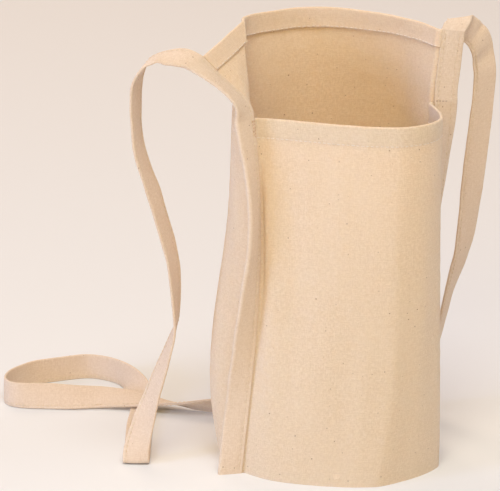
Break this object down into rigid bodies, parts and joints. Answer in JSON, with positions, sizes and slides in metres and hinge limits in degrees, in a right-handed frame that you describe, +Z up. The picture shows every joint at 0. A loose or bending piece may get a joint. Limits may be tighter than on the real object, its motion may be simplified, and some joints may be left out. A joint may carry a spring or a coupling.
{
  "type": "neck cup holder",
  "caption": "Open cotton pouch that carries a cup on the chest, hung from a flat cotton tape worn round the neck.",
  "frame": {"origin": "on the surface the pouch stands on, midway between the two side seams", "axes": "+Z up, +X from the left seam to the right one as seen from the front, the lower front panel faces -Y and the taller back panel +Y"},
  "size_m": [0.2315, 0.2202, 0.2354],
  "materials": {
    "front_cloth": "matte natural cotton, plain weave with small brown flecks",
    "back_cloth": "matte natural cotton, plain weave with small brown flecks",
    "base_cloth": "matte natural cotton, plain weave",
    "left_tape": "matte natural cotton tape, folded and stitched",
    "right_tape": "matte natural cotton tape, folded and stitched",
    "strap_tape": "matte natural cotton tape, folded flat"
  },
  "bodies": {
    "root": {"front_panel": "front_cloth", "back_panel": "back_cloth", "base_panel": "base_cloth", "left_side_binding": "left_tape", "right_side_binding": "right_tape", "neck_strap": "strap_tape"}
  },
  "joints": []
}
